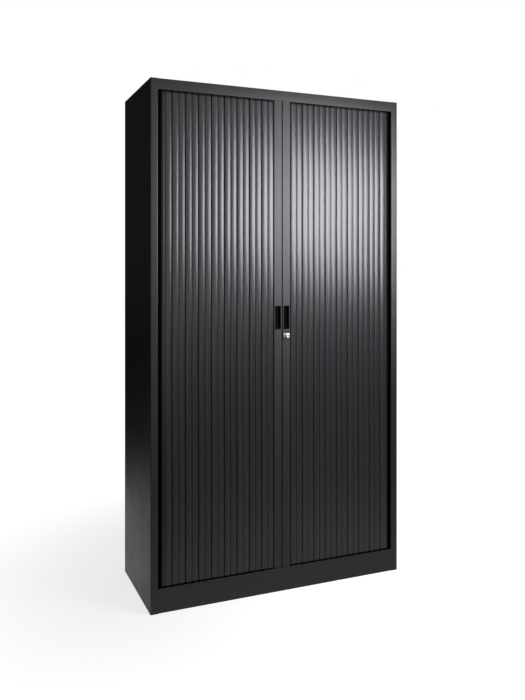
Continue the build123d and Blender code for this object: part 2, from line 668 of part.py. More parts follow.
# key's head: a plate with a ring hole, folded to the right, with two knuckles and their pin
with BuildPart() as key_bow:
    with BuildSketch(Plane.XZ.offset(-key_hinge.origin.Y)) as bow:
        with Locations((LOCK_X, LOCK_Z)):
            Rectangle(BOW_WIDTH, BOW_HEIGHT, align=(Align.MIN, Align.CENTER))
        fillet(bow.vertices().group_by(Axis.X)[-1], radius=BOW_ROUND)
        chamfer(bow.vertices().group_by(Axis.X)[0], length=BOW_TAPER)
        with Locations((LOCK_X + BOW_WIDTH - 2 * BOW_HOLE, LOCK_Z)):
            Circle(BOW_HOLE, mode=Mode.SUBTRACT)
    extrude(amount=KEY_THICKNESS / 2, both=True)
    with BuildSketch(key_hinge):
        Circle(KNUCKLE_RADIUS)
    extrude(amount=KNUCKLE_HEIGHT / 2, both=True)
    with BuildSketch(key_hinge):
        Circle(KNUCKLE_RADIUS + FOLD_CLEARANCE)
    extrude(amount=KEY_BLADE / 2 + FOLD_CLEARANCE, both=True, mode=Mode.SUBTRACT)
    with BuildSketch(key_hinge):
        Circle(PIN_RADIUS)
    extrude(amount=KNUCKLE_HEIGHT / 2, both=True)
save(key_bow, "key_bow")

# ---------------------------------------------------------------- levelling feet
with BuildPart() as foot_sleeves:
    with BuildSketch(Plane.XY.offset(DECK)):
        with Locations(*FEET):
            RegularPolygon(radius=SLEEVE_RADIUS, side_count=6)
            Circle(FOOT_STEM_RADIUS + STEM_CLEARANCE, mode=Mode.SUBTRACT)
    extrude(amount=-SLEEVE_LENGTH)
save(foot_sleeves, "foot_sleeves")

for (foot_x, foot_y), place in zip(FEET, ("front_left", "rear_left", "front_right", "rear_right")):
    with BuildPart() as levelling_foot:
        with BuildSketch(Plane.XY):
            with Locations((foot_x, foot_y)):
                Circle(FOOT_PAD_RADIUS)
        extrude(amount=FOOT_PAD_HEIGHT)
        with BuildSketch(Plane.XY.offset(FOOT_PAD_HEIGHT)):
            with Locations((foot_x, foot_y)):
                Circle(FOOT_STEM_RADIUS)
        extrude(amount=FOOT_STEM_TOP - FOOT_PAD_HEIGHT)
    save(levelling_foot, f"levelling_foot_{place}")
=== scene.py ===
import json
from math import acos, asin, atan2, cos, pi, radians, sin

import bmesh
import bpy
from bpy.props import (
    FloatProperty,
    FloatVectorProperty,
    IntProperty,
    PointerProperty,
)
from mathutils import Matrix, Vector

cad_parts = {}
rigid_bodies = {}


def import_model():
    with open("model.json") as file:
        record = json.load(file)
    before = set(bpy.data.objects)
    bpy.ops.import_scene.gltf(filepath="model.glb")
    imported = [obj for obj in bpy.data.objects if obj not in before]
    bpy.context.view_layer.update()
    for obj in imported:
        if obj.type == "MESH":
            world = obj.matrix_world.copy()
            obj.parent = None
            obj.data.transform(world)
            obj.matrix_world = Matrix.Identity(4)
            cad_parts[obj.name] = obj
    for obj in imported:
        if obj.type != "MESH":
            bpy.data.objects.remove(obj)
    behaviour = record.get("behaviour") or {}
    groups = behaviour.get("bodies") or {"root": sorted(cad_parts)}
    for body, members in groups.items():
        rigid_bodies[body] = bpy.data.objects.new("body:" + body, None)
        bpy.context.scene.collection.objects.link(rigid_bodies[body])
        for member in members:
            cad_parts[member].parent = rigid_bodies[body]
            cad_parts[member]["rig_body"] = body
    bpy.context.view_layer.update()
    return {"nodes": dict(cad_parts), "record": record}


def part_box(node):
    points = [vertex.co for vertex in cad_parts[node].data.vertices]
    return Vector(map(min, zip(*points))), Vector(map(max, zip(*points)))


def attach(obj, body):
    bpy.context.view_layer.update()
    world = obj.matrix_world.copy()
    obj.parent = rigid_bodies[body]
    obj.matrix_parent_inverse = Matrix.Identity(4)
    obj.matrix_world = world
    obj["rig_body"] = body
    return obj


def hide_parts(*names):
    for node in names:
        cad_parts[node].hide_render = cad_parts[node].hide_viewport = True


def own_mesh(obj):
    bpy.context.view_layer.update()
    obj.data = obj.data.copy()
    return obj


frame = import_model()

bl_info = {
    "name": "Tambour cupboard",
    "version": (1, 0, 0),
    "blender": (4, 5, 0),
    "location": "3D View > Sidebar > Cupboard",
    "description": "Dresses a two-door tambour cupboard: casing, curtains, posts, lock and feet",
    "category": "Object",
}

MM = 0.001
SIDES = {"left": -1, "right": 1}

# The opening that the curtains close.
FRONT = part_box("left_side_panel")[0].y
STILE_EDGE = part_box("plinth_rail")[1].x
RAIL_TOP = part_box("plinth_rail")[1].z
HEADER_HEIGHT = 40 * MM
HEADER_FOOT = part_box("top_panel")[1].z - HEADER_HEIGHT

# Painted shade, dark and dull, where a curtain runs in behind stile, rail or header: from, to.
STILE_PAINTED_SHADE = STILE_EDGE - 11 * MM, STILE_EDGE - 23 * MM
RAIL_PAINTED_SHADE = RAIL_TOP + 4 * MM, RAIL_TOP + 9 * MM
HEADER_PAINTED_SHADE = HEADER_FOOT, HEADER_FOOT - 14 * MM
# Colour share and gloss of the painted shade, and the gloss of the open curtain.
PAINTED_SHADE_TONE, PAINTED_SHADE_GLOSS, OPEN_GLOSS = 0.08, 0.03, 0.5

# The hinge line, which turns back at the front corners, how far a door opens, and how often
# a stretch of the line is halved to find the next hinge.
HINGE_SETBACK = 10.5 * MM
HINGE_LINE = FRONT + HINGE_SETBACK
CORNER_X = 466 * MM
CORNER_RADIUS = 48 * MM
FIRST_HINGE = 36 * MM
HALVINGS = 40

# Ribs, measured from their hinge: outer line over the crown, and the web between two ribs.
RIB_SHOULDER = Vector((2.5, 5.9)) * MM
RIB_MIDDLE = 13.0 * MM
RIB_HAUNCH = Vector((23.6, 6.05)) * MM
WEB_START = 24.5 * MM
WEB_HEIGHT = 4.0 * MM

# Hinges: a bead on a neck, and a socket ring with a mouth. Ends are where ribs meet them.
BEAD_RADIUS = 1.05 * MM
NECK = 0.9 * MM
NECK_ROOT = Vector((2.85, 1.3)) * MM
BEAD_ENDS = Vector((2.56, 1.94)) * MM, Vector((3.14, 0.66)) * MM
SOCKET_BORE = 1.3 * MM
SOCKET_RADIUS = 2.2 * MM
SOCKET_ENDS = Vector((1.55, 1.55)) * MM, Vector((2.2, 0.15)) * MM
RING_ENDS = radians(46), radians(364)
MOUTH = radians(130), radians(212)

# Slats: RUN_SLATS whole ones and half of the next move with the door, the rest turn the corner.
SLAT_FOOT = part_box("right_slat_01")[0].z
SLAT_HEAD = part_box("right_slat_01")[1].z
RUN_SLATS = 8
WHOLE, BEAD_HALF, SOCKET_HALF = 0, 1, 2

# Steps in a section's round parts, and the most of an edge that a rounding takes up.
CORNER_STEPS, CROWN_STEPS, BEAD_STEPS, BORE_STEPS = 4, 18, 20, 18
RING_STEPS = 8, 14
EDGE_SHARE = 0.45

# Points nearer than this are merged. Angles that tell flat faces and sharp edges.
MERGE = 0.001 * MM
TWIN_MERGE = 0.002 * MM
FLAT = radians(0.4)
SHARP = radians(40)
TWIN_CREASE = radians(35)
SLAT_CREASE = radians(38)

# The studio: each lamp's name, power setting, place, the point it is aimed at, size and colour.
COOL, PALE = (0.965, 0.95, 1.0), (0.93, 0.915, 1.0)
LAMPS = (
    ("softbox", "softbox", (0.69, FRONT - 1.05, 1.59), (0.28, FRONT, 1.59), (0.84, 0.67), COOL),
    ("fill_panel", "fill", (-0.6, FRONT - 4.6, 1.7), (0, FRONT, 0.9), (5.0, 3.2), PALE),
    ("overhead", "overhead", (0, FRONT - 0.2, 3.6), (0, FRONT + 0.1, 0), (2.4, 2.4), PALE),
    ("rear_fill", "rear_fill", (2.6, 3.4, 2.0), (0, 0, 1.0), (2.4, 2.4), PALE),
    ("side_fill", "side_fill", (-3.4, 0.9, 1.4), (-0.5, 0, 1.1), (1.6, 2.2), PALE),
)
CAMERA_PLACE = (-1.189, FRONT - 2.614, 1.253)
CAMERA_SHIFT = -0.115

# Round patches on the floor: centre, then distance and level within, then beyond.
# Painted pool of light in the floor paper's colour.
PAINTED_LIGHT_POOL = (1.2, -1.4, 0), (0.6, 1.0), (2.9, 0.0)
WHITE_PATCH = (0, 0, 0), (0.5, 0.78), (1.5, 1.0)
# Painted reflection: where the floor glows for gloss rays only.
PAINTED_SHEEN_CENTRE, PAINTED_SHEEN_WITHIN, PAINTED_SHEEN_BEYOND = (-0.6, 0.5, 0), 0.2, 1.9


# ---------------------------------------------------------------- settings
class CurtainSettings(bpy.types.PropertyGroup):
    """Sizes of a slat, and what its tones are drawn from"""

    rib: FloatProperty(
        name="Rib", description="Hinge to hinge width of one rib", default=25.5 * MM, unit="LENGTH"
    )
    crown: FloatProperty(
        name="Crown",
        description="Top of a rib above the hinge line",
        default=7.0 * MM,
        unit="LENGTH",
    )
    skin: FloatProperty(
        name="Skin", description="Wall thickness of a slat", default=1.3 * MM, unit="LENGTH"
    )
    shoulder: FloatProperty(
        name="Shoulder",
        description="Radius of a rib's two shoulders",
        default=1.3 * MM,
        unit="LENGTH",
    )
    tone_seed: IntProperty(name="Tone seed", description="Seed for the slats' tones", default=4)


class FinishSettings(bpy.types.PropertyGroup):
    """Colours of the finishes"""

    casing: FloatVectorProperty(
        name="Casing",
        description="Powder coat",
        default=(0.0105, 0.0102, 0.0106),
        subtype="COLOR",
    )
    slat: FloatVectorProperty(
        name="Slats",
        description="Slat plastic",
        default=(0.0185, 0.0185, 0.0200),
        subtype="COLOR",
    )
    post: FloatVectorProperty(
        name="Posts",
        description="Lead post coating",
        default=(0.0125, 0.0125, 0.0138),
        subtype="COLOR",
    )
    moulding: FloatVectorProperty(
        name="Mouldings",
        description="Cups, shoes and feet",
        default=(0.0030, 0.0030, 0.0031),
        subtype="COLOR",
    )
    track: FloatVectorProperty(
        name="Tracks",
        description="Track plastic",
        default=(0.030, 0.030, 0.031),
        subtype="COLOR",
    )
    nickel: FloatVectorProperty(
        name="Nickel",
        description="Lock and key plating",
        default=(0.78, 0.77, 0.74),
        subtype="COLOR",
    )
    zinc: FloatVectorProperty(
        name="Zinc",
        description="Zinc-plated steel",
        default=(0.56, 0.58, 0.60),
        subtype="COLOR",
    )


class StageSettings(bpy.types.PropertyGroup):
    """Floor, lights and camera"""

    floor: FloatVectorProperty(
        name="Floor", description="Floor colour", default=(0.80, 0.80, 0.80), subtype="COLOR"
    )
    floor_size: FloatProperty(
        name="Floor size", description="Side of the floor", default=40.0, unit="LENGTH"
    )
    ambient: FloatProperty(name="Ambient", description="Even light of the room", default=0.03)
    softbox: FloatProperty(
        name="Softbox", description="Power of the softbox in front", default=29.4, subtype="POWER"
    )
    fill: FloatProperty(
        name="Fill",
        description="Power of the large panel far in front",
        default=52.0,
        subtype="POWER",
    )
    overhead: FloatProperty(
        name="Overhead",
        description="Power of the light above the cupboard",
        default=22.0,
        subtype="POWER",
    )
    rear_fill: FloatProperty(
        name="Rear fill",
        description="Power of the panel behind the cupboard",
        default=60.0,
        subtype="POWER",
    )
    side_fill: FloatProperty(
        name="Side fill",
        description="Power of the panel on the left",
        default=4.5,
        subtype="POWER",
    )
    # Strength of the painted reflection: a floor glow that only the casing's gloss shows.
    sheen: FloatProperty(
        name="Sheen",
        description="How bright the floor beside the cupboard looks in its gloss",
        default=0.55,
    )
    lens: FloatProperty(
        name="Lens", description="Focal length", default=37.86, subtype="DISTANCE_CAMERA"
    )
    camera_turn: FloatProperty(
        name="Turn", description="Camera's heading", default=radians(-22.9), subtype="ANGLE"
    )


# ---------------------------------------------------------------- node helpers
def add_node(tree, kind, inputs=None, **settings):
    """Add a node, set its own settings and the defaults of its input sockets."""
    node = tree.nodes.new(kind)
    for key, value in settings.items():
        setattr(node, key, value)
    for key, value in (inputs or {}).items():
        node.inputs[key].default_value = value
    return node


def rgba(colour, gain=1.0):
    """A colour for a socket, made lighter or darker by a gain."""
    return (colour[0] * gain, colour[1] * gain, colour[2] * gain, 1.0)


def new_finish(name):
    """An empty material with its shader and its Object coordinates."""
    material = bpy.data.materials.new(name)
    material.use_nodes = True
    tree = material.node_tree
    tree.nodes.clear()
    shader = add_node(tree, "ShaderNodeBsdfPrincipled")
    output = add_node(tree, "ShaderNodeOutputMaterial")
    tree.links.new(shader.outputs["BSDF"], output.inputs["Surface"])
    coordinates = add_node(tree, "ShaderNodeTexCoord")
    return material, tree, shader, coordinates.outputs["Object"]


def stretched(tree, vector, scale):
    """Coordinates scaled along each axis, for patterns drawn out one way."""
    mapping = add_node(tree, "ShaderNodeMapping", {"Scale": scale})
    tree.links.new(vector, mapping.inputs["Vector"])
    return mapping.outputs["Vector"]


def noise(tree, vector, scale, detail=2.0, roughness=0.5):
    """Noise value at the given coordinates."""
    texture = add_node(
        tree, "ShaderNodeTexNoise", {"Scale": scale, "Detail": detail, "Roughness": roughness}
    )
    tree.links.new(vector, texture.inputs["Vector"])
    return texture.outputs["Fac"]


def spread(tree, value, low, high):
    """Map a noise value to the range from low to high."""
    ranged = add_node(
        tree,
        "ShaderNodeMapRange",
        {"From Min": 0.3, "From Max": 0.7, "To Min": low, "To Max": high},
    )
    tree.links.new(value, ranged.inputs["Value"])
    return ranged.outputs["Result"]


def tinted(tree, value, dark, light):
    """Blend two colours by a value from 0 to 1."""
    mix = add_node(tree, "ShaderNodeMix", data_type="RGBA")
    mix.inputs["A"].default_value = dark
    mix.inputs["B"].default_value = light
    tree.links.new(value, mix.inputs["Factor"])
    return mix.outputs["Result"]


def ramp(tree, value, start, end, low=0.0, high=1.0):
    """Go smoothly from low to high while a value goes from start to end."""
    ranged = add_node(
        tree,
        "ShaderNodeMapRange",
        {"From Min": start, "From Max": end, "To Min": low, "To Max": high},
        interpolation_type="SMOOTHSTEP",
    )
    tree.links.new(value, ranged.inputs["Value"])
    return ranged.outputs["Result"]


def product(tree, *values):
    """Multiply values with each other."""
    result = values[0]
    for value in values[1:]:
        times = add_node(tree, "ShaderNodeMath", operation="MULTIPLY")
        tree.links.new(result, times.inputs[0])
        tree.links.new(value, times.inputs[1])
        result = times.outputs["Value"]
    return result


def bumps(tree, shader, height, strength, distance, under=None):
    """Add fine relief, on top of another bump where one is given."""
    bump = add_node(tree, "ShaderNodeBump", {"Strength": strength, "Distance": distance})
    tree.links.new(height, bump.inputs["Height"])
    if under is not None:
        tree.links.new(under.outputs["Normal"], bump.inputs["Normal"])
    tree.links.new(bump.outputs["Normal"], shader.inputs["Normal"])
    return bump


# ---------------------------------------------------------------- finishes
# Noise scales are per metre, relief strengths are shares and relief depths are lengths.
def powder_coat(name, colour):
    """Satin powder coat: fine orange peel, slightly cloudy sheen."""
    material, tree, shader, place = new_finish(name)
    cloud = noise(tree, place, 4.0, 3.0)
    tone = spread(tree, cloud, 0.0, 1.0)
    base = tinted(tree, tone, rgba(colour, 0.93), rgba(colour, 1.07))
    tree.links.new(base, shader.inputs["Base Color"])
    tree.links.new(spread(tree, noise(tree, place, 9.0), 0.40, 0.46), shader.inputs["Roughness"])
    peel = bumps(tree, shader, noise(tree, place, 420.0, 1.0), 0.10, 0.25 * MM)
    bumps(tree, shader, noise(tree, place, 1500.0, 2.0), 0.16, 0.06 * MM, under=peel)
    return material


def outside_painted_shade(tree, place):
    """1 on a curtain's open face, falling to 0 in painted shade where it runs in behind stiles and
    rails.
    """
    parts = add_node(tree, "ShaderNodeSeparateXYZ")
    tree.links.new(place, parts.inputs["Vector"])
    aside = add_node(tree, "ShaderNodeMath", operation="ABSOLUTE")
    tree.links.new(parts.outputs["X"], aside.inputs[0])
    return product(
        tree,
        ramp(tree, aside.outputs["Value"], *STILE_PAINTED_SHADE),
        ramp(tree, parts.outputs["Z"], *RAIL_PAINTED_SHADE),
        ramp(tree, parts.outputs["Z"], *HEADER_PAINTED_SHADE),
    )


def slat_plastic(name, colour):
    """Extruded plastic: faint lines, each slat in its own tone, painted shade where it runs in."""
    material, tree, shader, place = new_finish(name)
    own_tone = add_node(tree, "ShaderNodeAttribute", attribute_name="slat_tone")
    clean = tinted(tree, own_tone.outputs["Fac"], rgba(colour, 0.90), rgba(colour, 1.10))
    # painted shade: the colour goes dark where the curtain runs in behind stiles, rail and header
    face = outside_painted_shade(tree, place)
    base = add_node(tree, "ShaderNodeMix", data_type="RGBA")
    base.inputs["A"].default_value = rgba(colour, PAINTED_SHADE_TONE)
    tree.links.new(clean, base.inputs["B"])
    tree.links.new(face, base.inputs["Factor"])
    tree.links.new(base.outputs["Result"], shader.inputs["Base Color"])
    # painted shade: the gloss drops there too
    sheen = add_node(tree, "ShaderNodeMapRange", {"To Min": PAINTED_SHADE_GLOSS, "To Max": OPEN_GLOSS})
    tree.links.new(face, sheen.inputs["Value"])
    tree.links.new(sheen.outputs["Result"], shader.inputs["Specular IOR Level"])
    lines = noise(tree, stretched(tree, place, (1.0, 1.0, 0.012)), 1600.0, 2.0)
    tree.links.new(spread(tree, lines, 0.26, 0.31), shader.inputs["Roughness"])
    drawn = bumps(tree, shader, lines, 0.12, 0.05 * MM)
    bumps(tree, shader, noise(tree, place, 900.0, 2.0), 0.08, 0.05 * MM, under=drawn)
    return material


def post_coating(name, colour):
    """Coated aluminium extrusion: smooth, with faint drawing lines under the coat."""
    material, tree, shader, place = new_finish(name)
    cloud = spread(tree, noise(tree, place, 7.0), 0.0, 1.0)
    base = tinted(tree, cloud, rgba(colour, 0.95), rgba(colour, 1.05))
    tree.links.new(base, shader.inputs["Base Color"])
    lines = noise(tree, stretched(tree, place, (1.0, 1.0, 0.01)), 1200.0, 2.0)
    tree.links.new(spread(tree, lines, 0.44, 0.50), shader.inputs["Roughness"])
    drawn = bumps(tree, shader, lines, 0.08, 0.04 * MM)
    bumps(tree, shader, noise(tree, place, 1100.0, 2.0), 0.10, 0.05 * MM, under=drawn)
    return material


def moulded_plastic(name, colour, roughness=(0.46, 0.56), sheen=0.5):
    """Moulded plastic with a spark-eroded grain."""
    material, tree, shader, place = new_finish(name)
    shader.inputs["Specular IOR Level"].default_value = sheen
    grain = noise(tree, place, 2200.0, 3.0, 0.6)
    base = tinted(tree, spread(tree, grain, 0.0, 1.0), rgba(colour, 0.9), rgba(colour, 1.15))
    tree.links.new(base, shader.inputs["Base Color"])
    tree.links.new(spread(tree, noise(tree, place, 60.0), *roughness), shader.inputs["Roughness"])
    bumps(tree, shader, grain, 0.25, 0.06 * MM)
    return material


def nickel_plate(name, colour):
    """Nickel plate with a fine satin scratch and a duller patch here and there."""
    material, tree, shader, place = new_finish(name)
    shader.inputs["Metallic"].default_value = 1.0
    patch = spread(tree, noise(tree, place, 180.0, 3.0), 0.0, 1.0)
    base = tinted(tree, patch, rgba(colour, 0.86), rgba(colour, 1.0))
    tree.links.new(base, shader.inputs["Base Color"])
    scratch = noise(tree, stretched(tree, place, (1.0, 1.0, 0.06)), 5200.0, 2.0)
    tree.links.new(spread(tree, scratch, 0.30, 0.42), shader.inputs["Roughness"])
    bumps(tree, shader, scratch, 0.10, 0.02 * MM)
    return material


def zinc_plate(name, colour):
    """Zinc-plated steel: soft crystal patches and a matt shine."""
    material, tree, shader, place = new_finish(name)
    shader.inputs["Metallic"].default_value = 1.0
    crystals = add_node(tree, "ShaderNodeTexVoronoi", {"Scale": 260.0}, feature="F1")
    tree.links.new(place, crystals.inputs["Vector"])
    patch = spread(tree, crystals.outputs["Distance"], 0.0, 1.0)
    base = tinted(tree, patch, rgba(colour, 0.82), rgba(colour, 1.05))
    tree.links.new(base, shader.inputs["Base Color"])
    tree.links.new(spread(tree, noise(tree, place, 300.0), 0.36, 0.5), shader.inputs["Roughness"])
    bumps(tree, shader, noise(tree, place, 1800.0, 2.0), 0.1, 0.03 * MM)
    return material


# ---------------------------------------------------------------- piece helpers
def smooth_by_angle(mesh, angle):
    """Shade a mesh smoothly, except over edges sharper than an angle."""
    mesh.shade_smooth()
    mesh.set_sharp_from_angle(angle=angle)


def settle(piece, body, slot, *nodes):
    """Put a finished piece on its body, in place of its CAD nodes."""
    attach(piece, body)
    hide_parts(*nodes)


def body_of_node(name):
    """The body that carries a CAD node."""
    return frame["nodes"][name]["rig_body"]


def slot_of_node(name):
    """The material slot that the record gives a CAD node."""
    entries = frame["record"]["subparts"]
    return next(entry["material_slot"] for entry in entries if entry["node"] == name)


def dress(names, material):
    """Give CAD nodes that stay as they are a material of their own."""
    for name in names:
        node = frame["nodes"][name]
        node.data.materials.clear()
        node.data.materials.append(material)


def smooth_twin(name, material, bevel=0.0):
    """A merged, smoothly shaded copy of a CAD node, its sharp edges eased by a bevel where one is
    given.
    """
    twin = bpy.data.objects.new(name + "_skin", frame["nodes"][name].data.copy())
    bpy.context.scene.collection.objects.link(twin)
    work = bmesh.new()
    work.from_mesh(twin.data)
    bmesh.ops.remove_doubles(work, verts=work.verts, dist=TWIN_MERGE)
    bmesh.ops.dissolve_limit(
        work, angle_limit=FLAT, verts=work.verts, edges=work.edges, delimit={"NORMAL"}
    )
    if bevel:
        folds = [edge for edge in work.edges if len(edge.link_faces) == 2]
        sharp = [edge for edge in folds if edge.calc_face_angle() > SHARP]
        bmesh.ops.bevel(
            work,
            geom=sharp,
            offset=bevel,
            segments=2,
            profile=0.6,
            affect="EDGES",
            clamp_overlap=True,
        )
    work.to_mesh(twin.data)
    work.free()
    smooth_by_angle(twin.data, TWIN_CREASE)
    twin.data.materials.clear()
    twin.data.materials.append(material)
    settle(twin, body_of_node(name), slot_of_node(name), name)


# ---------------------------------------------------------------- slat section
def arc(centre, radius, start, end, steps):
    """Points on an arc, from one angle to the other."""
    turns = [start + (end - start) * step / steps for step in range(steps + 1)]
    return [Vector((centre[0] + radius * cos(t), centre[1] + radius * sin(t))) for t in turns]


def eased(corners, radius):
    """An open line through corners, each inner corner rounded to a radius."""
    line = [Vector(corners[0])]
    for before, corner, after in zip(corners, corners[1:], corners[2:]):
        before, corner, after = Vector(before), Vector(corner), Vector(after)
        back, ahead = (before - corner).normalized(), (after - corner).normalized()
        half = acos(max(-1.0, min(1.0, back.dot(ahead)))) / 2
        reach = radius * max(0.0, cos(half)) / max(1e-6, sin(half))
        shorter = min((before - corner).length, (after - corner).length)
        reach = min(reach, EDGE_SHARE * shorter)
        for step in range(CORNER_STEPS + 1):
            share = step / CORNER_STEPS
            first = corner + back * reach * (1 - share)
            second = corner + ahead * reach * share
            line.append(first.lerp(second, share))
    line.append(Vector(corners[-1]))
    return line


def circle_through(first, second, third):
    """Centre and radius of the circle through three points."""
    a, b, c = Vector(first), Vector(second), Vector(third)
    double = 2 * ((a.x - c.x) * (b.y - c.y) - (b.x - c.x) * (a.y - c.y))
    left, right = a.length_squared - c.length_squared, b.length_squared - c.length_squared
    centre = Vector((
        (left * (b.y - c.y) - right * (a.y - c.y)) / double,
        (right * (a.x - c.x) - left * (b.x - c.x)) / double,
    ))
    return centre, (a - centre).length


def rib_line(settings, depth, start):
    """A rib's line from its hinge side over the crown to the web, at a depth in its skin."""
    centre, radius = circle_through(RIB_SHOULDER, (RIB_MIDDLE, settings.crown), RIB_HAUNCH)
    turns = [atan2(p.y - centre.y, p.x - centre.x) for p in (RIB_SHOULDER, RIB_HAUNCH)]
    # an inner line turns in sooner, so that the skin keeps its thickness
    inset = 0.9 * depth / radius
    crown = arc(centre, radius - depth, turns[0] - inset, turns[1] + inset, CROWN_STEPS)
    line = eased([start, crown[0], crown[1]], settings.shoulder)[:-1]
    line += crown[1:-1]
    web = WEB_HEIGHT - depth
    corners = [crown[-2], crown[-1], (WEB_START - 0.5 * depth, web), (settings.rib, web)]
    return line + eased(corners, settings.shoulder)[1:]


def mirrored(line, rib):
    """The same line on the slat's other rib, running back towards the socket."""
    return [Vector((2 * rib - point.x, point.y)) for point in reversed(line)]


def bead_outline():
    """Bead and neck, from the rib's inner edge round the bead to its outer edge."""
    lean = atan2(NECK_ROOT.y, NECK_ROOT.x)
    half = asin(NECK / 2 / BEAD_RADIUS)
    return arc((0, 0), BEAD_RADIUS, lean - half, lean + half - 2 * pi, BEAD_STEPS)


def socket_outline(rib):
    """Socket ring round the far hinge, from the rib's outer edge to its inner edge."""
    centre = (2 * rib, 0)
    outer = [pi - turn for turn in (RING_ENDS[0], MOUTH[0])]
    inner = [pi - turn for turn in (MOUTH[1], RING_ENDS[1])]
    return (
        arc(centre, SOCKET_RADIUS, outer[0], outer[1], RING_STEPS[0])
        + arc(centre, SOCKET_BORE, outer[1], inner[0] + 2 * pi, BORE_STEPS)
        + arc(centre, SOCKET_RADIUS, inner[0] + 2 * pi, inner[1] + 2 * pi, RING_STEPS[1])
    )


def slat_section(settings, name, first=True, last=True):
    """Mesh face with the section of a slat, or of the half on its bead's or socket's side."""
    rib = settings.rib
    outer = rib_line(settings, 0.0, BEAD_ENDS[0])
    inner = rib_line(settings, settings.skin, BEAD_ENDS[1])
    outer_far = mirrored(rib_line(settings, 0.0, SOCKET_ENDS[0]), rib)
    inner_far = mirrored(rib_line(settings, settings.skin, SOCKET_ENDS[1]), rib)[::-1]
    line = []
    if first:
        line += inner[::-1] + bead_outline() + outer
    if first and last:
        line += outer_far[1:] + socket_outline(rib) + inner_far[:-1]
    elif last:
        line += outer_far + socket_outline(rib) + inner_far
    mesh = bpy.data.meshes.new(name)
    mesh.from_pydata([(p.x, -p.y, 0.0) for p in line], [], [range(len(line))])
    section = bpy.data.objects.new(name, mesh)
    bpy.context.scene.collection.objects.link(section)
    return section


# ---------------------------------------------------------------- curtain on its track
def track_point(run):
    """Where the hinge line is, this far from the middle of the front."""
    quarter = CORNER_RADIUS * pi / 2
    if run <= CORNER_X:
        return Vector((run, HINGE_LINE))
    turn = min(run - CORNER_X, quarter) / CORNER_RADIUS
    centre = Vector((CORNER_X, HINGE_LINE + CORNER_RADIUS))
    beyond = Vector((0, max(0.0, run - CORNER_X - quarter)))
    return centre + CORNER_RADIUS * Vector((sin(turn), -cos(turn))) + beyond


def next_joint(run, rib):
    """The run at which the next hinge lies, one rib away in a straight line, found by halving."""
    low, high = run, run + 1.2 * rib
    for _ in range(HALVINGS):
        middle = (low + high) / 2
        if (track_point(middle) - track_point(run)).length < rib:
            low = middle
        else:
            high = middle
    return low


def slat_places(settings, count):
    """Where each slat hangs: its first hinge, its heading, and the fold between its ribs."""
    places, run = [], FIRST_HINGE
    for _ in range(count):
        middle = next_joint(run, settings.rib)
        end = next_joint(middle, settings.rib)
        a, b, c = track_point(run), track_point(middle), track_point(end)
        heading = atan2(b.y - a.y, b.x - a.x)
        fold = atan2(c.y - b.y, c.x - b.x) - heading
        places.append((a, heading, fold))
        run = end
    return places


def hanging_points(name, places, kinds):
    """Mesh of the slats' first hinges, with the heading, fold and kind of each."""
    mesh = bpy.data.meshes.new(name)
    mesh.from_pydata([(p.x, p.y, SLAT_FOOT) for p, _, _ in places], [], [])
    for label, values in (
        ("heading", [heading for _, heading, _ in places]),
        ("fold", [fold for _, _, fold in places]),
        ("kind", kinds),
        ("hinge_x", [p.x for p, _, _ in places]),
        ("hinge_y", [p.y for p, _, _ in places]),
    ):
        attribute = mesh.attributes.new(label, "FLOAT", "POINT")
        attribute.data.foreach_set("value", values)
    return mesh


